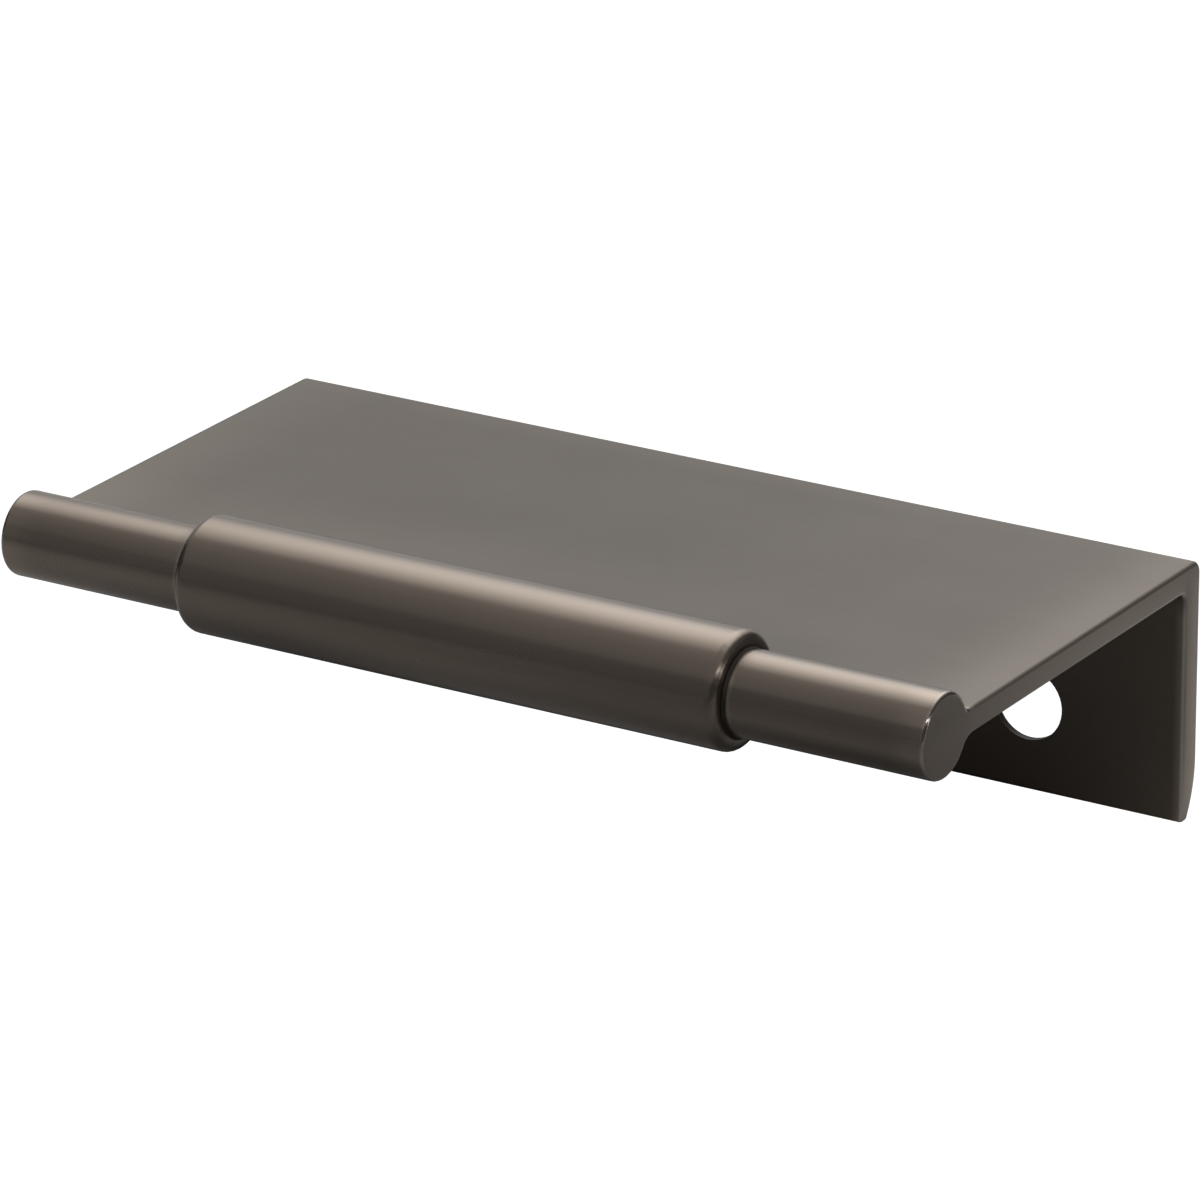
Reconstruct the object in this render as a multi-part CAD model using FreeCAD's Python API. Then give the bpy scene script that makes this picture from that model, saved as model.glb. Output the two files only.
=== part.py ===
import FreeCAD, Part
import math
import os

# Tab pull: a cast plate that lies on a drawer front's top edge, with a flange screwed
# behind the drawer front, and a round bar with a thicker grip along its free edge.
# X runs along the pull, -Y towards the hand, +Z up. The origin is midway between the
# screw holes, on the flange face that seats against the drawer front.

# Driving dimensions in millimetres
overall_length = 114.0
bar_reach = 51.8              # seating face to the bar's axis
bar_diameter = 9.4
bar_drop = 1.4                # the bar's axis below the plate's top
grip_diameter = 12.9
grip_length = 67.0
grip_shoulder_radius = 1.2    # rounding of the grip's two outer rims
grip_root_radius = 0.3        # small hollow where the bar leaves the grip
plate_thickness = 3.0
flange_thickness = 3.2
flange_height = 29.5          # plate top to flange bottom
screw_edge_distance = 10.0    # screw axis above the flange bottom
screw_spacing = 76.2
screw_hole_diameter = 8.2
screw_land = 0.8              # straight wall left between the seating face and the countersink
countersink_angle = 90.0
top_hollow_radius = 0.8       # hollow between the plate's top and the bar or grip
under_hollow_radius = 2.2     # hollow between the plate's underside and the bar
inner_corner_radius = 1.2     # between the plate's underside and the flange
outer_corner_radius = 1.5     # between the plate's top and the flange's back
foot_corner_radius = 0.5      # both long edges of the flange bottom
back_ease_radius = 13.0       # long soft curve that brings the back in to the foot
back_ease_height = 6.8        # height over which that curve runs
end_edge_radius = 0.5         # polished rounding round both end faces

# Derived places
bar_radius = bar_diameter / 2
grip_radius = grip_diameter / 2
foot_z = -screw_edge_distance
plate_top_z = foot_z + flange_height
plate_under_z = plate_top_z - plate_thickness
bar_y = -bar_reach
bar_z = plate_top_z - bar_drop
back_y = flange_thickness


def at(y, z):
    """A point of an outline, which is drawn in the middle plane of the pull."""
    return FreeCAD.Vector(0, y, z)


def line(start, end):
    return Part.LineSegment(start, end).toShape()


def arc(start, middle, end):
    return Part.Arc(start, middle, end).toShape()


def round_corner(start, centre, radius, end):
    """The shorter arc from start to end about a centre."""
    bisector = (start - centre) + (end - centre)
    middle = centre + bisector.normalize() * radius
    return arc(start, middle, end)


def extruded(edges, length):
    """A solid of constant section, centred on the middle plane."""
    face = Part.Face(Part.Wire(edges))
    face.translate(FreeCAD.Vector(-length / 2, 0, 0))
    return face.extrude(FreeCAD.Vector(length, 0, 0))


def hollow(face_z, side, radius, round_radius):
    """The hollow that blends a plate face into the round front edge.

    side is +1 above the plate and -1 below it. Gives the end on the plate, the hollow
    itself and the end on the round.
    """
    centre_z = face_z + side * radius
    reach = math.sqrt((round_radius + radius) ** 2 - (centre_z - bar_z) ** 2)
    centre = at(bar_y + reach, centre_z)
    on_plate = at(bar_y + reach, face_z)
    axis = at(bar_y, bar_z)
    on_round = axis + (centre - axis).normalize() * round_radius
    return on_plate, round_corner(on_plate, centre, radius, on_round), on_round


def front_edge(round_radius, under_radius):
    """The round front edge, from the plate's underside about the bar's axis to its top."""
    top_on_plate, top_hollow, top_on_round = hollow(plate_top_z, 1, top_hollow_radius, round_radius)
    low_on_plate, low_hollow, low_on_round = hollow(plate_under_z, -1, under_radius, round_radius)
    foremost = at(bar_y - round_radius, bar_z)
    edges = [low_hollow, arc(low_on_round, foremost, top_on_round), top_hollow]
    return low_on_plate, edges, top_on_plate


def foot_back_corner():
    """The soft curve that brings the back in to the foot, and the small corner below it."""
    ease_centre = at(back_y - back_ease_radius, foot_z + back_ease_height)
    ease_start = at(back_y, ease_centre.z)
    corner_z = foot_z + foot_corner_radius
    inner = back_ease_radius - foot_corner_radius
    reach = math.sqrt(inner ** 2 - (ease_centre.z - corner_z) ** 2)
    corner_centre = at(ease_centre.y + reach, corner_z)
    on_ease = ease_centre + (corner_centre - ease_centre).normalize() * back_ease_radius
    on_foot = at(corner_centre.y, foot_z)
    ease = round_corner(ease_start, ease_centre, back_ease_radius, on_ease)
    corner = round_corner(on_ease, corner_centre, foot_corner_radius, on_foot)
    return ease_start, [ease, corner], on_foot


def end_outline():
    """Closed outline of the casting as seen from its end."""
    under_start, front_edges, top_start = front_edge(bar_radius, under_hollow_radius)
    ease_start, foot_edges, foot_back = foot_back_corner()

    outer_centre = at(back_y - outer_corner_radius, plate_top_z - outer_corner_radius)
    outer_on_top = at(outer_centre.y, plate_top_z)
    outer_on_back = at(back_y, outer_centre.z)
    toe_centre = at(foot_corner_radius, foot_z + foot_corner_radius)
    toe_on_foot = at(toe_centre.y, foot_z)
    toe_on_seat = at(0, toe_centre.z)
    inner_centre = at(-inner_corner_radius, plate_under_z - inner_corner_radius)
    inner_on_seat = at(0, inner_centre.z)
    inner_on_under = at(inner_centre.y, plate_under_z)

    return front_edges + [
        line(top_start, outer_on_top),
        round_corner(outer_on_top, outer_centre, outer_corner_radius, outer_on_back),
        line(outer_on_back, ease_start),
    ] + foot_edges + [
        line(foot_back, toe_on_foot),
        round_corner(toe_on_foot, toe_centre, foot_corner_radius, toe_on_seat),
        line(toe_on_seat, inner_on_seat),
        round_corner(inner_on_seat, inner_centre, inner_corner_radius, inner_on_under),
        line(inner_on_under, under_start),
    ]


def lies_on_an_end(edge):
    box = edge.BoundBox
    return box.XLength < 1e-6 and abs(abs(box.Center.x) - overall_length / 2) < 1e-6


def plate_flange_and_bar():
    """The constant section along the whole pull, with its end edges rounded."""
    body = extruded(end_outline(), overall_length)
    end_edges = [edge for edge in body.Edges if lies_on_an_end(edge)]
    return body.makeFillet(end_edge_radius, end_edges)


def turned_grip():
    """The grip as turned about the bar's axis: soft rims and a small root hollow."""
    half = grip_length / 2
    rim = half - grip_shoulder_radius
    root = half + grip_root_radius
    soft = math.sqrt(0.5)

    def ring(x, radius):
        return FreeCAD.Vector(x, bar_y, bar_z + radius)

    def shoulder(side):
        """Edges from the axis out to the bar's surface and up to the grip's."""
        on_axis = ring(side * root, 0)
        on_bar = ring(side * root, bar_radius)
        root_middle = ring(side * (root - grip_root_radius * soft),
                           bar_radius + grip_root_radius * (1 - soft))
        root_top = ring(side * half, bar_radius + grip_root_radius)
        rim_low = ring(side * half, grip_radius - grip_shoulder_radius)
        rim_middle = ring(side * (rim + grip_shoulder_radius * soft),
                          grip_radius - grip_shoulder_radius * (1 - soft))
        rim_top = ring(side * rim, grip_radius)
        return [
            line(on_axis, on_bar),
            arc(on_bar, root_middle, root_top),
            line(root_top, rim_low),
            arc(rim_low, rim_middle, rim_top),
        ]

    along_grip = line(ring(-rim, grip_radius), ring(rim, grip_radius))
    along_axis = line(ring(root, 0), ring(-root, 0))
    outline = Part.Wire(shoulder(-1) + [along_grip] + shoulder(1)[::-1] + [along_axis])
    return Part.Face(outline).revolve(ring(0, 0), FreeCAD.Vector(1, 0, 0), 360)


def grip_blend():
    """The hollows that blend the grip into both faces of the plate, between its soft rims."""
    under, edges, top = front_edge(grip_radius, top_hollow_radius)
    return extruded(edges + [line(top, under)], grip_length - 2 * grip_shoulder_radius)


def screw_hole(x):
    """Through hole from the seating face, countersunk from the back for a flat-head screw."""
    towards_back = FreeCAD.Vector(0, 1, 0)
    hole_radius = screw_hole_diameter / 2
    sink_depth = flange_thickness - screw_land
    sink_radius = hole_radius + sink_depth * math.tan(math.radians(countersink_angle / 2))
    bore = Part.makeCylinder(hole_radius, flange_thickness, FreeCAD.Vector(x, 0, 0), towards_back)
    sink = Part.makeCone(hole_radius, sink_radius, sink_depth,
                         FreeCAD.Vector(x, screw_land, 0), towards_back)
    return bore.fuse(sink)


def tab_pull():
    body = plate_flange_and_bar().fuse([turned_grip(), grip_blend()])
    for side in (-1, 1):
        body = body.cut(screw_hole(side * screw_spacing / 2))
    return body.removeSplitter()


os.makedirs("parts", exist_ok=True)
pull = tab_pull()
solid = pull.Solids[0]
print("solids", len(pull.Solids), "valid", pull.isValid(), "volume", round(solid.Volume, 1))
box = pull.optimalBoundingBox(False, False)
print("box", [round(v, 2) for v in (box.XLength, box.YLength, box.ZLength)])
solid.exportStep("parts/tab_pull.step")
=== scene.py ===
# %% [markdown]
# The part is a tab pull: one zinc casting that lies over the top edge of a drawer front.
# Its plate lies on the edge, its flange is screwed behind the drawer front, and its free
# edge is a round bar with a thicker grip in the middle. It is plated a dark, warm grey and
# brushed to a satin. The construction model already holds every form of the casting, its
# hollows, roundings and screw holes, so this file leaves that mesh as it is, and gives it
# the finish, the light and the camera that make it look like the real one.

import math

import bmesh
import bpy
from mathutils import Matrix, Vector


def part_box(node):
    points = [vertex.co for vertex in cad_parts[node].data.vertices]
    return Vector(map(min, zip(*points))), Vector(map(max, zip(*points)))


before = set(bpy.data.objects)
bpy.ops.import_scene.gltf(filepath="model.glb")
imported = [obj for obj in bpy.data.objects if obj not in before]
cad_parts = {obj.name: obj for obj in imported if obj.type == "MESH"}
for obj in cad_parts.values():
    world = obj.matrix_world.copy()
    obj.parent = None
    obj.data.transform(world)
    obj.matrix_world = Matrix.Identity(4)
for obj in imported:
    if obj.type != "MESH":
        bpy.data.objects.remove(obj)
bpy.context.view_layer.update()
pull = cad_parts["tab_pull"]
low, high = (Vector(corner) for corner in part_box("tab_pull"))
low_mm = [round(v * 1000, 1) for v in low]
high_mm = [round(v * 1000, 1) for v in high]
print("the pull reaches from", low_mm, "to", high_mm, "mm")

# %% [markdown]
# Places on the casting that the finish needs are measured on the loaded model or repeated
# from its drawing: the axis and radii of the bar and the grip, and the screw holes. The
# board and the floor of the set are given by their heights. A material in Blender can
# read the place of each point of the surface, so wear can sit on an edge and the buffing
# can follow the bar.

# %% Places on the casting, in metres
MM = 0.001
bar_axis_y = -51.8 * MM
bar_axis_z = 18.1 * MM
bar_radius = 4.7 * MM
grip_radius = 6.45 * MM
grip_end = 33.5 * MM
screw_half_pitch = 38.1 * MM
screw_bore_radius = 4.1 * MM
screw_land = 0.8 * MM
bar_side_y = -47.5 * MM
plate_side_y = -45.5 * MM
board_height = -10.5 * MM
floor_height = -0.4
end_x = high.x
print("the bar's axis is", round((bar_axis_y - low.y) / MM, 2), "mm behind the foremost point")

# %% [markdown]
# The photograph was taken with a long lens from the front right and a little above, which
# keeps the long edges nearly parallel. The camera is placed by four plain numbers, its
# turn round the pull, its height angle, its distance and a very small tilt, so that each
# can be changed by itself. A long lens from further away would look nearly the same, and a
# short lens close by would spread the right end.

# %% Camera
camera_azimuth = math.radians(32.003)
camera_elevation = math.radians(21.054)
camera_tilt = math.radians(-0.352)
camera_distance = 0.8528
camera_aim = Vector((-2.584, -21.974, 11.210)) * MM

lens = bpy.data.cameras.new("long_lens")
lens.lens = 237.47
lens.sensor_width = 36.0
lens.clip_start = 0.05
lens.clip_end = 20.0
camera = bpy.data.objects.new("camera", lens)
bpy.context.collection.objects.link(camera)
turn = Matrix.Rotation(camera_azimuth, 4, "Z") @ Matrix.Rotation(math.pi / 2 - camera_elevation, 4, "X")
back = (turn @ Vector((0, 0, 1, 0))).to_3d()
camera.matrix_world = (Matrix.Translation(camera_aim + back * camera_distance) @ turn
                       @ Matrix.Rotation(camera_tilt, 4, "Z"))
bpy.context.scene.camera = camera
print("camera at", [round(v, 3) for v in camera.matrix_world.translation], "m")

# %% [markdown]
# Nodes are wired many times below, so small helpers do it: one adds a node, fills in its
# settings and joins the sockets given to it. Another adds a Math node, because most masks
# are short sums, and the rest make soft steps, bells and node groups.

# %% Helpers for nodes
def add_node(tree, kind, inputs=None, **settings):
    """A new node with its settings and the values of its unlinked sockets."""
    node = tree.nodes.new(kind)
    for name, value in settings.items():
        setattr(node, name, value)
    for name, value in (inputs or {}).items():
        if isinstance(value, bpy.types.NodeSocket):
            tree.links.new(value, node.inputs[name])
        else:
            node.inputs[name].default_value = value
    return node


def math_node(tree, operation, *values, clamp=False):
    """The result socket of one sum; each value is a number or another socket."""
    node = add_node(tree, "ShaderNodeMath", operation=operation, use_clamp=clamp)
    for index, value in enumerate(values):
        if isinstance(value, bpy.types.NodeSocket):
            tree.links.new(value, node.inputs[index])
        else:
            node.inputs[index].default_value = value
    return node.outputs[0]


def smooth_step(tree, value, start, end, low_value=0.0, high_value=1.0):
    """A soft step from low_value to high_value while the value runs from start to end."""
    node = add_node(tree, "ShaderNodeMapRange", interpolation_type="SMOOTHSTEP")
    for name, entry in (("Value", value), ("From Min", start), ("From Max", end),
                        ("To Min", low_value), ("To Max", high_value)):
        if isinstance(entry, bpy.types.NodeSocket):
            tree.links.new(entry, node.inputs[name])
        else:
            node.inputs[name].default_value = entry
    return node.outputs["Result"]


def bell(tree, value, middle, spread):
    """A soft bell over a value, 1 at its middle."""
    off = math_node(tree, "DIVIDE", math_node(tree, "SUBTRACT", value, middle), spread)
    squared = math_node(tree, "POWER", off, 2.0)
    return math_node(tree, "EXPONENT", math_node(tree, "MULTIPLY", squared, -0.5))


def new_group(name, inputs, outputs):
    """An empty node group with named inputs and outputs, each (name, kind, default)."""
    tree = bpy.data.node_groups.new(name, "ShaderNodeTree")
    for socket_name, kind, default in inputs:
        socket = tree.interface.new_socket(socket_name, in_out="INPUT", socket_type=kind)
        if default is not None:
            socket.default_value = default
    for socket_name, kind in outputs:
        tree.interface.new_socket(socket_name, in_out="OUTPUT", socket_type=kind)
    start = tree.nodes.new("NodeGroupInput")
    end = tree.nodes.new("NodeGroupOutput")
    return tree, start, end


def use_group(tree, group, **inputs):
    node = tree.nodes.new("ShaderNodeGroup")
    node.node_tree = group
    for name, value in inputs.items():
        socket = node.inputs[name.replace("_", " ")]
        if isinstance(value, bpy.types.NodeSocket):
            tree.links.new(value, socket)
        else:
            socket.default_value = value
    return node


print("helpers ready")

# %% [markdown]
# Brushing is a field of hair-fine scratches that run along the pull, as an abrasive belt
# leaves before plating. It could be an image, but stretched noise has no seams and no fixed
# size: noise that is squeezed across the pull and drawn out along it turns into streaks.
# Two sizes are added, because a belt leaves a few long marks among many fine ones.

# %% Brushing group
brushing, brush_in, brush_out = new_group(
    "Brushing",
    [("Place", "NodeSocketVector", None), ("Fineness", "NodeSocketFloat", 9000.0),
     ("Stretch", "NodeSocketFloat", 60.0)],
    [("Streaks", "NodeSocketFloat"), ("Long marks", "NodeSocketFloat")],
)
along = math_node(brushing, "DIVIDE", 1.0, brush_in.outputs["Stretch"])
squeeze = add_node(brushing, "ShaderNodeCombineXYZ", {"X": along, "Y": 1.0, "Z": 1.0})
drawn_out = add_node(brushing, "ShaderNodeVectorMath", operation="MULTIPLY")
brushing.links.new(brush_in.outputs["Place"], drawn_out.inputs[0])
brushing.links.new(squeeze.outputs[0], drawn_out.inputs[1])
fine = add_node(brushing, "ShaderNodeTexNoise",
                {"Vector": drawn_out.outputs[0], "Scale": brush_in.outputs["Fineness"],
                 "Detail": 2.0, "Roughness": 0.6})
coarse_scale = math_node(brushing, "MULTIPLY", brush_in.outputs["Fineness"], 0.22)
coarse = add_node(brushing, "ShaderNodeTexNoise",
                  {"Vector": drawn_out.outputs[0], "Scale": coarse_scale, "Detail": 3.0, "Roughness": 0.55})
brushing.links.new(fine.outputs[0], brush_out.inputs["Streaks"])
brushing.links.new(coarse.outputs[0], brush_out.inputs["Long marks"])
print("brushing group has", len(brushing.nodes), "nodes")

# %% [markdown]
# Plating takes a little differently on each patch of a casting, and handling adds a faint
# cloudiness. One group gives that as a slow, low contrast, which the finish uses for its
# colour and its roughness.

# %% Cloudiness group
cloudiness, cloud_in, cloud_out = new_group(
    "Cloudiness",
    [("Place", "NodeSocketVector", None), ("Size", "NodeSocketFloat", 60.0)],
    [("Cloud", "NodeSocketFloat")],
)
cloud = add_node(cloudiness, "ShaderNodeTexNoise",
                 {"Vector": cloud_in.outputs["Place"], "Scale": cloud_in.outputs["Size"],
                  "Detail": 2.0, "Roughness": 0.5})
cloud_step = smooth_step(cloudiness, cloud.outputs[0], 0.3, 0.7)
cloudiness.links.new(cloud_step, cloud_out.inputs["Cloud"])
print("cloudiness group has", len(cloudiness.nodes), "nodes")

# %% [markdown]
# Edges of a plated casting are often polished brighter, by the buffing wheel and by use,
# and the photograph shows light rims. The rounded end edges are where the surface turns
# from a side face to an end face, so the mask is highest where the normal is half way
# between, and only near the ends. The plate's own end edge shows no light rim and is left
# out. The long rounded edge at the back of the plate and the flange's foot get the same.

# %% Edge wear group
edge_wear, wear_in, wear_out = new_group(
    "Edge wear",
    [("Place", "NodeSocketVector", None), ("Facing", "NodeSocketVector", None),
     ("End", "NodeSocketFloat", 0.057), ("Reach", "NodeSocketFloat", 0.0008)],
    [("Wear", "NodeSocketFloat")],
)
place = add_node(edge_wear, "ShaderNodeSeparateXYZ", {"Vector": wear_in.outputs["Place"]})
facing = add_node(edge_wear, "ShaderNodeSeparateXYZ", {"Vector": wear_in.outputs["Facing"]})
from_middle = math_node(edge_wear, "ABSOLUTE", place.outputs["X"])
end_start = math_node(edge_wear, "SUBTRACT", wear_in.outputs["End"], wear_in.outputs["Reach"])
near_end = smooth_step(edge_wear, from_middle, end_start, wear_in.outputs["End"])
end_part = math_node(edge_wear, "POWER", facing.outputs["X"], 2.0)
side_part = math_node(edge_wear, "SUBTRACT", 1.0, end_part)
end_turn = math_node(edge_wear, "MULTIPLY", end_part, side_part)
end_rim = math_node(edge_wear, "MULTIPLY", math_node(edge_wear, "MULTIPLY", end_turn, 4.0), near_end)
on_plate = math_node(edge_wear, "MULTIPLY", smooth_step(edge_wear, place.outputs["Z"], 0.0160, 0.0175),
                     smooth_step(edge_wear, place.outputs["Y"], bar_side_y, plate_side_y))
end_rim = math_node(edge_wear, "MULTIPLY", end_rim, math_node(edge_wear, "SUBTRACT", 1.0, on_plate))
up_part = math_node(edge_wear, "POWER", facing.outputs["Z"], 2.0)
back_part = math_node(edge_wear, "POWER", facing.outputs["Y"], 2.0)
long_turn = math_node(edge_wear, "MULTIPLY", math_node(edge_wear, "MULTIPLY", up_part, back_part), 4.0)
behind = smooth_step(edge_wear, place.outputs["Y"], 0.0002, 0.0012)
long_rim = math_node(edge_wear, "MULTIPLY", long_turn, behind)
wear = math_node(edge_wear, "SQRT", math_node(edge_wear, "MAXIMUM", end_rim, long_rim))
edge_wear.links.new(wear, wear_out.inputs["Wear"])
print("edge wear group has", len(edge_wear.nodes), "nodes")

# %% [markdown]
# The bar and the grip mirror the studio with a fairly clear edge, as buffed metal does,
# while the plate and the flange look like a duller satin. One casting can hold both: the
# mask follows the distance from the bar's axis. Three narrow masks mark the little hollow
# where the bar leaves the grip and the strips of the bar next to it. The finish paints shade
# into the hollow and into the strip that faces up beside it, and a painted highlight on a
# thin line along the bar beside the hollow.

# %% Buffed bar group
buffed, buff_in, buff_out = new_group(
    "Buffed bar",
    [("Place", "NodeSocketVector", None), ("Axis Y", "NodeSocketFloat", bar_axis_y),
     ("Axis Z", "NodeSocketFloat", bar_axis_z), ("Bar radius", "NodeSocketFloat", bar_radius),
     ("Grip radius", "NodeSocketFloat", grip_radius), ("Grip end", "NodeSocketFloat", grip_end)],
    [("Buffed", "NodeSocketFloat"), ("Root", "NodeSocketFloat"), ("Near root", "NodeSocketFloat"),
     ("Root line", "NodeSocketFloat")],
)
place = add_node(buffed, "ShaderNodeSeparateXYZ", {"Vector": buff_in.outputs["Place"]})
across = math_node(buffed, "SUBTRACT", place.outputs["Y"], buff_in.outputs["Axis Y"])
above = math_node(buffed, "SUBTRACT", place.outputs["Z"], buff_in.outputs["Axis Z"])
squares = math_node(buffed, "ADD", math_node(buffed, "POWER", across, 2.0),
                    math_node(buffed, "POWER", above, 2.0))
from_axis = math_node(buffed, "SQRT", squares)
past_grip = math_node(buffed, "SUBTRACT", math_node(buffed, "ABSOLUTE", place.outputs["X"]),
                      buff_in.outputs["Grip end"])
radius = smooth_step(buffed, past_grip, 0.0, 0.0005,
                     buff_in.outputs["Grip radius"], buff_in.outputs["Bar radius"])
outside = math_node(buffed, "SUBTRACT", from_axis, radius)
on_turned = smooth_step(buffed, outside, 0.0001, 0.0009, 1.0, 0.0)
from_root = math_node(buffed, "SUBTRACT", past_grip, 0.00015)
off_root_along = smooth_step(buffed, math_node(buffed, "ABSOLUTE", from_root), 0.00015, 0.00035)
off_root_out = smooth_step(buffed, from_axis, 0.00505, 0.0053)
off_root = math_node(buffed, "MAXIMUM", off_root_along, off_root_out)
is_buffed = math_node(buffed, "MULTIPLY", on_turned, off_root)
buffed.links.new(is_buffed, buff_out.inputs["Buffed"])
inside_hollow = smooth_step(buffed, from_axis, 0.00508, 0.00498)
in_root = math_node(buffed, "MULTIPLY", inside_hollow, smooth_step(buffed, past_grip, 0.00060, 0.00020))
buffed.links.new(in_root, buff_out.inputs["Root"])
near_root = math_node(buffed, "MULTIPLY", inside_hollow, smooth_step(buffed, past_grip, 0.0022, 0.0003))
buffed.links.new(near_root, buff_out.inputs["Near root"])
root_line = math_node(buffed, "MULTIPLY", inside_hollow, bell(buffed, past_grip, 0.00062, 0.00018))
buffed.links.new(root_line, buff_out.inputs["Root line"])
print("buffed bar group has", len(buffed.nodes), "nodes")

# %% [markdown]
# In the photograph the plate is a little lighter at its ends and at the front on the left,
# and a little duller in the middle and beside the right shoulder. This group paints that
# as light and shade in the plate's colour: painted light at the ends and the left front,
# painted shade in the middle and beside the right shoulder. Handling could do that, and so
# could the studio's light, which one picture can't tell apart. The differences are slow
# and small, so a few soft bells and steps over the plate's length and depth make them.
# Their sizes were found by trying, until the render came close to the photograph.

# %% Painted plate light and shade group
painted_plate_light, painted_plate_in, painted_plate_out = new_group(
    "Painted plate light", [("Place", "NodeSocketVector", None)], [("Tone", "NodeSocketFloat")])
place = add_node(painted_plate_light, "ShaderNodeSeparateXYZ", {"Vector": painted_plate_in.outputs["Place"]})
# Painted light at the ends, the left front and the back edge; painted shade in the middle, beside the right
# shoulder and at the left back.
middle_shade = math_node(painted_plate_light, "MULTIPLY", bell(painted_plate_light, place.outputs["X"], -0.001, 0.021),
                        smooth_step(painted_plate_light, place.outputs["Y"], -0.038, -0.024, 0.04, 0.10))
left_front = math_node(painted_plate_light, "MULTIPLY", smooth_step(painted_plate_light, place.outputs["Y"], -0.026, -0.044),
                       smooth_step(painted_plate_light, place.outputs["X"], 0.030, -0.035, 0.0, 0.20))
left_back = math_node(painted_plate_light, "MULTIPLY", smooth_step(painted_plate_light, place.outputs["Y"], -0.030, -0.006),
                      smooth_step(painted_plate_light, place.outputs["X"], -0.046, -0.054, 0.0, 0.08))
right_end = smooth_step(painted_plate_light, place.outputs["X"], 0.049, 0.0562, 0.0, 0.12)
back_edge = math_node(painted_plate_light, "MULTIPLY", bell(painted_plate_light, place.outputs["X"], -0.004, 0.036),
                      smooth_step(painted_plate_light, place.outputs["Y"], -0.002, 0.0015, 0.0, 0.10))
shoulder_shade = math_node(painted_plate_light, "MULTIPLY", bell(painted_plate_light, place.outputs["X"], 0.031, 0.006),
                        smooth_step(painted_plate_light, place.outputs["Y"], -0.035, -0.041, 0.0, 0.08))
middle_shade = math_node(painted_plate_light, "ADD", middle_shade, shoulder_shade)
painted_plate_tone = math_node(painted_plate_light, "SUBTRACT", math_node(painted_plate_light, "ADD", left_front, right_end), middle_shade)
painted_plate_tone = math_node(painted_plate_light, "ADD", math_node(painted_plate_light, "SUBTRACT", painted_plate_tone, left_back), back_edge)
painted_plate_light.links.new(math_node(painted_plate_light, "ADD", painted_plate_tone, 1.0), painted_plate_out.inputs["Tone"])
print("handling group has", len(painted_plate_light.nodes), "nodes")

# %% [markdown]
# The wall of the screw hole is as dark as the flange in the photograph, so that no rim
# shows round the hole. The bores and their countersinks get less colour for it, which is
# painted shade. The mask is one inside them, found by the distance from each screw's axis.

# %% Screw bore group
screw_bore, bore_in, bore_out = new_group(
    "Screw bore",
    [("Place", "NodeSocketVector", None), ("Half pitch", "NodeSocketFloat", screw_half_pitch),
     ("Bore radius", "NodeSocketFloat", screw_bore_radius)],
    [("Bore", "NodeSocketFloat")],
)
place = add_node(screw_bore, "ShaderNodeSeparateXYZ", {"Vector": bore_in.outputs["Place"]})
aside = math_node(screw_bore, "SUBTRACT", math_node(screw_bore, "ABSOLUTE", place.outputs["X"]),
                  bore_in.outputs["Half pitch"])
squares = math_node(screw_bore, "ADD", math_node(screw_bore, "POWER", aside, 2.0),
                    math_node(screw_bore, "POWER", place.outputs["Z"], 2.0))
off_axis = math_node(screw_bore, "SUBTRACT", math_node(screw_bore, "SQRT", squares),
                     bore_in.outputs["Bore radius"])
past_land = math_node(screw_bore, "SUBTRACT", place.outputs["Y"], screw_land)
sink_depth = math_node(screw_bore, "MAXIMUM", past_land, 0.0)
off_wall = math_node(screw_bore, "SUBTRACT", off_axis, sink_depth)
in_bore = smooth_step(screw_bore, off_wall, 0.00005, 0.0002, 1.0, 0.0)
in_flange = smooth_step(screw_bore, place.outputs["Y"], 0.0, 0.0001)
bore_out_value = math_node(screw_bore, "MULTIPLY", in_bore, in_flange)
screw_bore.links.new(bore_out_value, bore_out.inputs["Bore"])
print("screw bore group has", len(screw_bore.nodes), "nodes")

# %% [markdown]
# The flat end faces aren't one even tone in the photograph: it rises slowly down the
# plate's end and across the flange's end, and the bar's end stays a little darker. The
# group paints that as light and shade into their colour, with steps over the end's
# height and depth that were found by trying. The cause isn't known, so the group only
# follows what is seen, with steps over the end's height and depth that were found by
# trying.

# %% End face group
end_face_tone, ground_in, ground_out = new_group(
    "End face", [("Place", "NodeSocketVector", None)], [("Tone", "NodeSocketFloat")])
place = add_node(end_face_tone, "ShaderNodeSeparateXYZ", {"Vector": ground_in.outputs["Place"]})
down_plate = smooth_step(end_face_tone, place.outputs["Z"], 0.0205, 0.0165, 0.89, 1.09)
on_bar = smooth_step(end_face_tone, place.outputs["Y"], bar_side_y, plate_side_y, 0.88, 1.0)
across_flange = smooth_step(end_face_tone, place.outputs["Y"], 0.0002, 0.0024, 0.76, 1.12)
on_flange = math_node(end_face_tone, "MULTIPLY",
                      smooth_step(end_face_tone, place.outputs["Y"], -0.0010, 0.0002),
                      smooth_step(end_face_tone, place.outputs["Z"], 0.0190, 0.0160))
flange_tone = add_node(end_face_tone, "ShaderNodeMix", {"Factor": on_flange, 2: 1.0, 3: across_flange})
end_tone = math_node(end_face_tone, "MULTIPLY", math_node(end_face_tone, "MULTIPLY", down_plate, on_bar),
                     flange_tone.outputs[0])
end_face_tone.links.new(end_tone, ground_out.inputs["Tone"])
print("end face group has", len(end_face_tone.nodes), "nodes")

# %% [markdown]
# The finish itself is one Principled shader: a metal whose colour is the plating's warm
# dark grey. The groups only vary it. The streaks and clouds shift the colour and roughness
# a little, the streaks also feed a very shallow bump, and the edges are lighter and
# shinier. The plate's top is a duller satin than the rest, and its darker, less warm colour,
# as in the photograph, is painted shade. The masks for the plate, the end faces, the bores,
# the root and the bar's tips paint light and shade into the colour as well.

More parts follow.
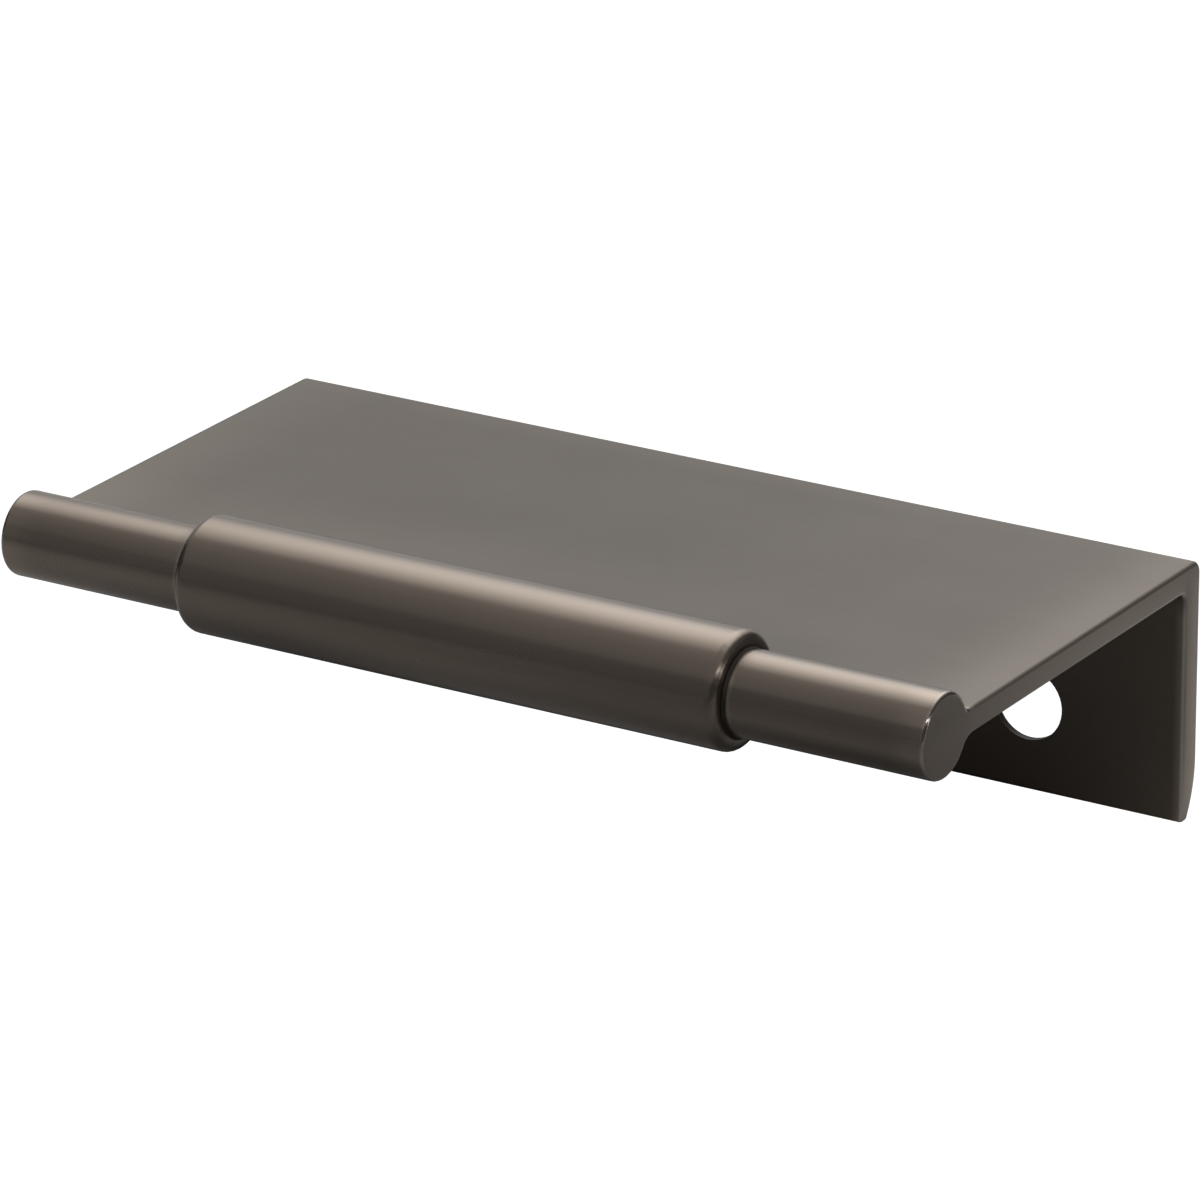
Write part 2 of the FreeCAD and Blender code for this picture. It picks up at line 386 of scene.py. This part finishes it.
# %% Dark satin metal
finish = bpy.data.materials.new("dark_satin_metal")
finish.use_nodes = True
tree = finish.node_tree
tree.nodes.clear()
shader = add_node(tree, "ShaderNodeBsdfPrincipled", {"Metallic": 1.0})
add_node(tree, "ShaderNodeOutputMaterial", {"Surface": shader.outputs[0]})
coordinates = tree.nodes.new("ShaderNodeTexCoord")
surface = tree.nodes.new("ShaderNodeNewGeometry")
where = coordinates.outputs["Object"]

brush_fineness = 9000.0
brush_stretch = 60.0
cloud_size = 60.0
wear_reach = 0.8 * MM
brush = use_group(tree, brushing, Place=where, Fineness=brush_fineness, Stretch=brush_stretch)
clouds = use_group(tree, cloudiness, Place=where, Size=cloud_size)
edges = use_group(tree, edge_wear, Place=where, Facing=surface.outputs["Normal"],
                  End=end_x, Reach=wear_reach)
turned = use_group(tree, buffed, Place=where)
bores = use_group(tree, screw_bore, Place=where)
painted_plate = use_group(tree, painted_plate_light, Place=where)
ends = use_group(tree, end_face_tone, Place=where)

plating = (0.196, 0.1635, 0.136, 1.0)
plating_dark = (0.184, 0.1535, 0.128, 1.0)
plating_worn = (0.300, 0.265, 0.235, 1.0)
# Painted shade: the plate's top gets a darker, less warm colour than the rest of the casting.
painted_top_shade = (0.58, 0.616, 0.64, 1.0)
no_change = (1.0, 1.0, 1.0, 1.0)
wear_share = 0.8
# Strengths of painted light and shade: lighter plate ends, darker bores and root hollow, a lighter root
# line and inner edge.
painted_end_light = 0.26
painted_bore_shade = 0.8
painted_root_shade = 0.75
painted_near_root_shade = 0.22
painted_root_highlight = 0.5
painted_edge_highlight = 0.8
streak_mix = math_node(tree, "MULTIPLY", brush.outputs["Streaks"], 0.5)
tone = math_node(tree, "ADD", streak_mix, math_node(tree, "MULTIPLY", clouds.outputs["Cloud"], 0.5))
colour = add_node(tree, "ShaderNodeMix", {"Factor": tone, 6: plating_dark, 7: plating}, data_type="RGBA")
worn = add_node(tree, "ShaderNodeMix",
                {"Factor": math_node(tree, "MULTIPLY", edges.outputs["Wear"], wear_share),
                 6: colour.outputs[2], 7: plating_worn}, data_type="RGBA")
facing = add_node(tree, "ShaderNodeSeparateXYZ", {"Vector": surface.outputs["Normal"]})
end_face = smooth_step(tree, math_node(tree, "ABSOLUTE", facing.outputs["X"]), 0.5, 0.9)
flat_end = smooth_step(tree, math_node(tree, "ABSOLUTE", facing.outputs["X"]), 0.93, 0.99)
off_top = smooth_step(tree, facing.outputs["Z"], 0.9, 0.5)
off_plate = math_node(tree, "MAXIMUM", end_face, off_top)
off_painted_top = math_node(tree, "MAXIMUM", off_plate, turned.outputs["Buffed"])
top_shade_tone = add_node(tree, "ShaderNodeMix",
                     {"Factor": off_painted_top, 6: painted_top_shade, 7: no_change},
                     data_type="RGBA")
along_pull = add_node(tree, "ShaderNodeSeparateXYZ", {"Vector": where})
# Painted light: the plate's top is lighter towards both ends, times the plate's painted light and shade.
towards_end = smooth_step(tree, math_node(tree, "ABSOLUTE", along_pull.outputs["X"]), 0.044, 0.057)
end_light_gain = math_node(tree, "ADD", math_node(tree, "MULTIPLY", towards_end, painted_end_light), 1.0)
top_light_and_shade = math_node(tree, "MULTIPLY", end_light_gain, painted_plate.outputs["Tone"])
by_end = add_node(tree, "ShaderNodeMix", {"Factor": off_painted_top, 2: top_light_and_shade, 3: 1.0})
# The flat end faces take the painted light and shade of the End face group instead.
by_end = add_node(tree, "ShaderNodeMix",
                  {"Factor": flat_end, 2: by_end.outputs[0], 3: ends.outputs["Tone"]})
# Painted shade in the screw bores and their countersinks.
bore_shade = math_node(tree, "MULTIPLY", bores.outputs["Bore"], painted_bore_shade)
bore_tone = math_node(tree, "SUBTRACT", 1.0, bore_shade)
# Painted shade in the root hollow, and on the upward-facing strip of the bar beside it.
root_shade = math_node(tree, "MULTIPLY", turned.outputs["Root"], painted_root_shade)
root_tone = math_node(tree, "SUBTRACT", 1.0, root_shade)
facing_up = smooth_step(tree, facing.outputs["Z"], 0.75, 0.92, 0.0, painted_near_root_shade)
near_root_shade = math_node(tree, "MULTIPLY", turned.outputs["Near root"], facing_up)
near_root_tone = math_node(tree, "SUBTRACT", 1.0, near_root_shade)
by_place_tone = math_node(tree, "MULTIPLY", by_end.outputs[0], bore_tone)
both_roots = math_node(tree, "MULTIPLY", root_tone, near_root_tone)
by_place_tone = math_node(tree, "MULTIPLY", by_place_tone, both_roots)
# Painted highlight: a thin lighter line on the bar beside the root hollow, where it doesn't face up.
root_line_highlight = math_node(tree, "MULTIPLY", turned.outputs["Root line"],
                      smooth_step(tree, facing.outputs["Z"], 0.9, 0.5, 0.0, painted_root_highlight))
# Painted light: the buffed bar is lighter in colour near its tips, more where it faces the front; it is
# also a little glossier there.
bar_tip = math_node(tree, "MULTIPLY", turned.outputs["Buffed"],
                    smooth_step(tree, math_node(tree, "ABSOLUTE", along_pull.outputs["X"]), 0.0520, 0.0565))
side_face = math_node(tree, "SUBTRACT", 1.0, end_face)
painted_light_gain = math_node(tree, "MULTIPLY", math_node(tree, "MULTIPLY", bar_tip, side_face),
                     smooth_step(tree, facing.outputs["Y"], -0.5, -0.85, 0.12, 0.24))
# Painted highlight on the flange's front edge at the right end only.
inner_edge = math_node(tree, "MULTIPLY",
                       smooth_step(tree, along_pull.outputs["X"], 0.0555, 0.0566,
                                   0.0, painted_edge_highlight),
                       smooth_step(tree, facing.outputs["Y"], -0.5, -0.9))
inner_edge = math_node(tree, "MULTIPLY", inner_edge,
                       smooth_step(tree, along_pull.outputs["Z"], 0.016, 0.013))
painted_light_gain = math_node(tree, "ADD", math_node(tree, "ADD", painted_light_gain, root_line_highlight), inner_edge)
by_place_tone = math_node(tree, "MULTIPLY", by_place_tone, math_node(tree, "ADD", painted_light_gain, 1.0))
toned = add_node(tree, "ShaderNodeVectorMath",
                 {0: worn.outputs[2], 1: top_shade_tone.outputs[2]}, operation="MULTIPLY")
toned = add_node(tree, "ShaderNodeVectorMath",
                 {0: toned.outputs[0], "Scale": by_place_tone}, operation="SCALE")
tree.links.new(toned.outputs[0], shader.inputs["Base Color"])

satin = 0.55
buffed_satin = 0.25
end_satin = 0.42
streak_roughness = 0.10
cloud_roughness = 0.03
wear_gloss = 0.06
tip_gloss = 0.05
by_place = add_node(tree, "ShaderNodeMix",
                    {"Factor": turned.outputs["Buffed"], 2: satin, 3: buffed_satin})
by_place = add_node(tree, "ShaderNodeMix", {"Factor": flat_end, 2: by_place.outputs[0], 3: end_satin})
streaks_about_zero = math_node(tree, "SUBTRACT", brush.outputs["Streaks"], 0.5)
clouds_about_zero = math_node(tree, "SUBTRACT", clouds.outputs["Cloud"], 0.5)
rough_streaks = math_node(tree, "MULTIPLY", streaks_about_zero, streak_roughness)
rough_clouds = math_node(tree, "MULTIPLY", clouds_about_zero, cloud_roughness)
roughness = math_node(tree, "ADD", math_node(tree, "ADD", by_place.outputs[0], rough_streaks), rough_clouds)
worn_gloss = math_node(tree, "MULTIPLY", edges.outputs["Wear"], wear_gloss)
roughness = math_node(tree, "SUBTRACT", roughness, worn_gloss)
roughness = math_node(tree, "SUBTRACT", roughness, math_node(tree, "MULTIPLY", bar_tip, tip_gloss))
tree.links.new(roughness, shader.inputs["Roughness"])

scratches = math_node(tree, "ADD", math_node(tree, "MULTIPLY", brush.outputs["Streaks"], 0.4),
                      math_node(tree, "MULTIPLY", brush.outputs["Long marks"], 0.6))
scratch_depth = 0.012 * MM
bump = add_node(tree, "ShaderNodeBump",
                {"Height": scratches, "Strength": 0.05, "Distance": scratch_depth})
tree.links.new(bump.outputs[0], shader.inputs["Normal"])

pull.material_slots[0].material = finish
print("finish on", pull.name, "with", len(pull.material_slots), "slot")

# %% [markdown]
# Shiny metal shows whatever is round it, so the set is a dark cloth tent with a few lit
# cloths in it, as for any photograph of satin metal. The cloths are stage pieces that only
# light and reflections see, so the camera looks through them at a plain white surround
# from every side. The surround is white by its strength for the camera's and the mirrored
# rays alone, and adds very little light of its own.

# %% White surround
world = bpy.data.worlds.new("white_surround")
world.use_nodes = True
surround = world.node_tree
background = surround.nodes["Background"]
background.inputs["Color"].default_value = (1.0, 1.0, 1.0, 1.0)
ray = surround.nodes.new("ShaderNodeLightPath")
seen = math_node(surround, "MAXIMUM", ray.outputs["Is Camera Ray"], ray.outputs["Is Glossy Ray"])
seen = math_node(surround, "MAXIMUM", seen, ray.outputs["Is Transmission Ray"])
surround.links.new(smooth_step(surround, seen, 0.0, 1.0, 0.15, 1.0), background.inputs["Strength"])
bpy.context.scene.world = world
print("surround is white for the camera")

# %% [markdown]
# Each cloth is one grid, scaled and turned in its mesh, that glows in plain white. Area
# lamps would light the same way, but a glowing sheet can fade across its width, and the
# soft edges of the highlights on the bar are the pictures of such fades.

# %% Helpers for the set
def stage_piece(name, bm, material):
    """A piece of the set that reflections and light see, and the camera doesn't."""
    mesh = bpy.data.meshes.new(name)
    bm.to_mesh(mesh)
    bm.free()
    mesh.materials.append(material)
    piece = bpy.data.objects.new(name, mesh)
    bpy.context.collection.objects.link(piece)
    piece.visible_camera = False
    piece.visible_shadow = False
    return piece


def sheet(name, material, width, depth, centre, facing=(0, 0, 1), along=(1, 0, 0)):
    """A flat cloth: width runs along, and it faces the way given."""
    bm = bmesh.new()
    bmesh.ops.create_grid(bm, x_segments=1, y_segments=1, size=0.5)
    bmesh.ops.scale(bm, vec=(width, depth, 1.0), verts=bm.verts)
    normal = Vector(facing).normalized()
    rise = normal.cross(Vector(along)).normalized()
    side = rise.cross(normal)
    turned_to = Matrix((side, rise, normal)).transposed().to_4x4()
    bmesh.ops.transform(bm, matrix=Matrix.Translation(Vector(centre)) @ turned_to, verts=bm.verts)
    return stage_piece(name, bm, material)


def glowing(name, strength):
    """A plain white glow: the material, its nodes, where a point lies, and its strength."""
    material = bpy.data.materials.new(name)
    material.use_nodes = True
    nodes = material.node_tree
    nodes.nodes.clear()
    glow = add_node(nodes, "ShaderNodeEmission", {"Color": (1.0, 1.0, 1.0, 1.0), "Strength": strength})
    add_node(nodes, "ShaderNodeOutputMaterial", {"Surface": glow.outputs[0]})
    point = add_node(nodes, "ShaderNodeTexCoord").outputs["Object"]
    return material, nodes, point, glow.inputs["Strength"]


def turned_up(phi):
    """Level direction to the front, turned up by phi about the bar's axis."""
    return Vector((0.0, -math.cos(math.radians(phi)), math.sin(math.radians(phi))))


print("helpers for the set ready")

# %% [markdown]
# The tent is a large dark ball round everything. It gives the deep tones between the
# highlights, and without it the white surround would wash the dark plating out.

# %% Tent
tent_glow = 0.10
dark_cloth = glowing("dark_cloth", tent_glow)[0]
bm = bmesh.new()
tent_radius = 2.0
bmesh.ops.create_icosphere(bm, subdivisions=4, radius=tent_radius)
stage_piece("tent", bm, dark_cloth)
print("tent radius", tent_radius, "m")

# %% [markdown]
# A pale ceiling cloth gives the front of the bar its middle tone, a grey cloth at the front
# fills the lower half, and a low one at the back lights the flange's edge. The ceiling is
# weaker towards the front and the left, and the front cloth stronger at the far left.

# %% Ceiling and front cloths
pale_cloth, pale_nodes, pale_point, pale_strength = glowing("pale_cloth", 0.48)
pale_spot = add_node(pale_nodes, "ShaderNodeSeparateXYZ", {"Vector": pale_point})
pale_front = smooth_step(pale_nodes, pale_spot.outputs["Y"], -0.20, -0.42, 0.50, 0.43)
pale_left = smooth_step(pale_nodes, pale_spot.outputs["X"], -0.36, -0.58, 1.05, 0.86)
pale_nodes.links.new(math_node(pale_nodes, "MULTIPLY", pale_front, pale_left), pale_strength)
ceiling = sheet("ceiling_cloth", pale_cloth, 1.65, 1.0, (-0.025, -0.565, 0.62))
grey_cloth, grey_nodes, grey_point, grey_strength = glowing("grey_cloth", 0.21)
grey_spot = add_node(grey_nodes, "ShaderNodeSeparateXYZ", {"Vector": grey_point})
grey_nodes.links.new(smooth_step(grey_nodes, grey_spot.outputs["X"], -0.62, -0.78, 0.21, 0.32),
                     grey_strength)
front = sheet("front_cloth", grey_cloth, 1.7, 0.55, (-0.35, -1.0, 0.29), facing=(0, 1, 0))
back_cloth = glowing("back_cloth", 0.55)[0]
rear = sheet("rear_cloth", back_cloth, 1.6, 0.34, (-0.8, 0.8, 0.0), facing=(0, -1, 0))
print("cloths", ceiling.name, front.name, rear.name)

# %% [markdown]
# The main light is a big diffuser above and behind the bar. Its hot middle makes the bright
# line along the top of the bar and the grip. The line dims towards the left, so the hot
# middle does too and bends down there. To the right the cloth fades out on a slant, which
# leaves the rims that turn to the right dark.

# %% Diffuser
diffuser_turn = 126.0
diffuser_distance = 0.6
diffuser_way = turned_up(diffuser_turn)
diffuser_centre = diffuser_way * diffuser_distance
down_cloth = diffuser_way.cross(Vector((1, 0, 0)))
bright_cloth, cloth_nodes, cloth_point, cloth_strength = glowing("bright_cloth", 1.0)
sheet("diffuser", bright_cloth, 2.6, 1.1, diffuser_centre + Vector((-0.2, 0, 0)), facing=diffuser_way)
off_centre = add_node(cloth_nodes, "ShaderNodeVectorMath",
                      {0: cloth_point, 1: tuple(diffuser_centre)}, operation="SUBTRACT")
cloth_depth = add_node(cloth_nodes, "ShaderNodeVectorMath",
                       {0: off_centre.outputs[0], 1: tuple(down_cloth)}, operation="DOT_PRODUCT")
cloth_u = cloth_depth.outputs["Value"]
cloth_place = add_node(cloth_nodes, "ShaderNodeSeparateXYZ", {"Vector": off_centre.outputs[0]})
cloth_x = cloth_place.outputs["X"]
past_bend = math_node(cloth_nodes, "MINIMUM", math_node(cloth_nodes, "ADD", cloth_x, 0.29), 0.0)
bend = math_node(cloth_nodes, "MULTIPLY", past_bend, 0.8)
hot_up = bell(cloth_nodes, math_node(cloth_nodes, "SUBTRACT", cloth_u, bend), 0.02, 0.25)
hot_along = smooth_step(cloth_nodes, cloth_x, -0.75, -0.25, 0.0, 2.5)
lit = math_node(cloth_nodes, "ADD", math_node(cloth_nodes, "MULTIPLY", hot_up, hot_along), 0.47)
slant = math_node(cloth_nodes, "ADD", cloth_x, math_node(cloth_nodes, "MULTIPLY", cloth_u, 0.5))
lit = math_node(cloth_nodes, "MULTIPLY", lit, smooth_step(cloth_nodes, slant, 0.54, -0.04))
right_glow = smooth_step(cloth_nodes, cloth_x, 0.25, 0.45, 0.05, 0.20)
cloth_nodes.links.new(math_node(cloth_nodes, "ADD", lit, right_glow), cloth_strength)
print("diffuser centre", [round(v, 2) for v in diffuser_centre], "m")

# %% [markdown]
# Two thin strips on the right draw the sharp glints on the shoulder of the grip and on the
# bar's end. They run down in two pieces with a knee between, because the rims turn round
# the bar, and one straight strip would lose them half way.

# %% Strip lights
strip_top = Vector((0.5, -0.37, 0.46))
strip_knee = Vector((0.5, -0.13, 0.25))
strip_foot = Vector((0.5, 0.25, -0.10))
for name, start, end, width, strength in (("upper_strip", strip_top, strip_knee, 0.05, 6.0),
                                          ("lower_strip", strip_knee, strip_foot, 0.025, 5.0)):
    sheet(name, glowing(name, strength)[0], (start - end).length, width, (start + end) / 2,
          facing=(-1, 0, 0), along=start - end)
    print(name, "is", round((start - end).length, 2), "m long")

# %% [markdown]
# A grey board lies just below the pull, and its tone is what the lower half of the bar and
# the flange show. Painted shadows darken it under and in front of the pull, which keeps the
# corner behind the bar deep, and painted shade darkens it beside the right end. A painted
# pool of light brightens it in front on the right, and glowing spots beside the pull, painted
# light, light the ends. Its grey is also paler to the left and darker far in front. One side
# cloth lies lower on the right.

# %% Boards under the pull
board_finish = bpy.data.materials.new("grey_board")
board_finish.use_nodes = True
board = board_finish.node_tree
board_shader = board.nodes["Principled BSDF"]
board_shader.inputs["Roughness"].default_value = 1.0
board_shader.inputs["Specular IOR Level"].default_value = 0.0
board_shader.inputs["Emission Color"].default_value = (1.0, 1.0, 1.0, 1.0)
board_point = add_node(board, "ShaderNodeTexCoord").outputs["Object"]
board_spot = add_node(board, "ShaderNodeSeparateXYZ", {"Vector": board_point})
board_x = board_spot.outputs["X"]
board_y = board_spot.outputs["Y"]


def board_times(*factors):
    """The product of several sockets or numbers on the board."""
    product = factors[0]
    for factor in factors[1:]:
        product = math_node(board, "MULTIPLY", product, factor)
    return product


# Painted shadows under and in front of the pull, painted shade beside the right end, and a painted pool of
# light in front on the right.
painted_shadow_under = board_times(bell(board, board_y, -0.008, 0.014),
                         smooth_step(board, board_x, 0.060, 0.034), 0.86)
painted_shade_beside = board_times(bell(board, board_x, 0.105, 0.018), bell(board, board_y, 0.0, 0.02), 0.6)
painted_light_right = board_times(bell(board, board_y, -0.078, 0.013),
                         smooth_step(board, board_x, -0.002, 0.012), 0.26)
painted_shadow_before = board_times(bell(board, board_y, -0.061, 0.010),
                          bell(board, board_x, -0.006, 0.010), 0.18)
board_grey = board_times(smooth_step(board, board_x, -0.02, -0.10, 0.30, 0.48),
                         math_node(board, "ADD", painted_light_right, 1.0),
                         math_node(board, "SUBTRACT", 1.0, painted_shadow_before),
                         math_node(board, "SUBTRACT", 1.0, painted_shadow_under),
                         math_node(board, "SUBTRACT", 1.0, painted_shade_beside),
                         smooth_step(board, board_y, -0.2, -0.09, 0.82, 1.0))
board_colour = add_node(board, "ShaderNodeCombineXYZ",
                        {"X": board_grey, "Y": board_grey, "Z": board_grey})
board.links.new(board_colour.outputs[0], board_shader.inputs["Base Color"])

# Painted light: the board glows in patches by the foot, behind it, in front and by the toe.
by_foot = board_times(smooth_step(board, board_x, 0.080, 0.060),
                      smooth_step(board, board_x, 0.054, 0.060),
                      smooth_step(board, board_y, -0.005, 0.005), 0.5)
behind_foot = board_times(bell(board, board_y, 0.048, 0.018),
                          smooth_step(board, board_x, 0.04, 0.06), 0.42)
aslant = math_node(board, "SUBTRACT", board_y, math_node(board, "MULTIPLY", board_x, 0.6))
before = board_times(bell(board, aslant, -0.054, 0.020), bell(board, board_x, -0.010, 0.028),
                     smooth_step(board, board_y, -0.022, -0.040), 0.15)
by_toe = board_times(bell(board, board_y, -0.012, 0.015), bell(board, board_x, 0.058, 0.012), 0.08)
board_glow = math_node(board, "ADD", math_node(board, "ADD", by_foot, behind_foot),
                       math_node(board, "ADD", before, by_toe))
board.links.new(board_glow, board_shader.inputs["Emission Strength"])
sheet("board_below", board_finish, 1.16, 2.0, (-0.42, 0.0, board_height))
sheet("low_board", glowing("side_cloth", 0.35)[0], 1.0, 2.0, (0.66, 0.0, -0.12))
print("board lies", round((low.z - board_height) / MM, 2), "mm below the pull's foot")

# %% [markdown]
# The floor is a wide pale disc some way below, because a pull hangs on a drawer front and
# not on a table. Its own light keeps it white for the camera, as the photograph's ground
# is. The pull is so far above it that its shadow spreads out and is too faint to see.

# %% Floor
floor_mesh = bpy.data.meshes.new("floor")
bm = bmesh.new()
bmesh.ops.create_circle(bm, cap_ends=True, segments=96, radius=4.0)
bmesh.ops.translate(bm, vec=(0, 0, floor_height), verts=bm.verts)
bm.to_mesh(floor_mesh)
bm.free()
floor = bpy.data.objects.new("floor", floor_mesh)
bpy.context.collection.objects.link(floor)
paper = bpy.data.materials.new("white_paper")
paper.use_nodes = True
paper_shader = paper.node_tree.nodes["Principled BSDF"]
paper_shader.inputs["Base Color"].default_value = (0.85, 0.85, 0.85, 1.0)
paper_shader.inputs["Roughness"].default_value = 0.9
paper_shader.inputs["Emission Color"].default_value = (1, 1, 1, 1)
ray = paper.node_tree.nodes.new("ShaderNodeLightPath")
seen = math_node(paper.node_tree, "MAXIMUM", ray.outputs["Is Camera Ray"], ray.outputs["Is Glossy Ray"])
seen = math_node(paper.node_tree, "MAXIMUM", seen, ray.outputs["Is Transmission Ray"])
paper_glow = 0.9
own_light = math_node(paper.node_tree, "MULTIPLY", seen, paper_glow)
paper.node_tree.links.new(own_light, paper_shader.inputs["Emission Strength"])
floor_mesh.materials.append(paper)
print("floor is", round((low.z - floor_height) / MM), "mm below the pull's foot")

# %% [markdown]
# The last step fixes how the picture's colours are written.

# %% Finish
bpy.context.scene.view_settings.view_transform = "Standard"
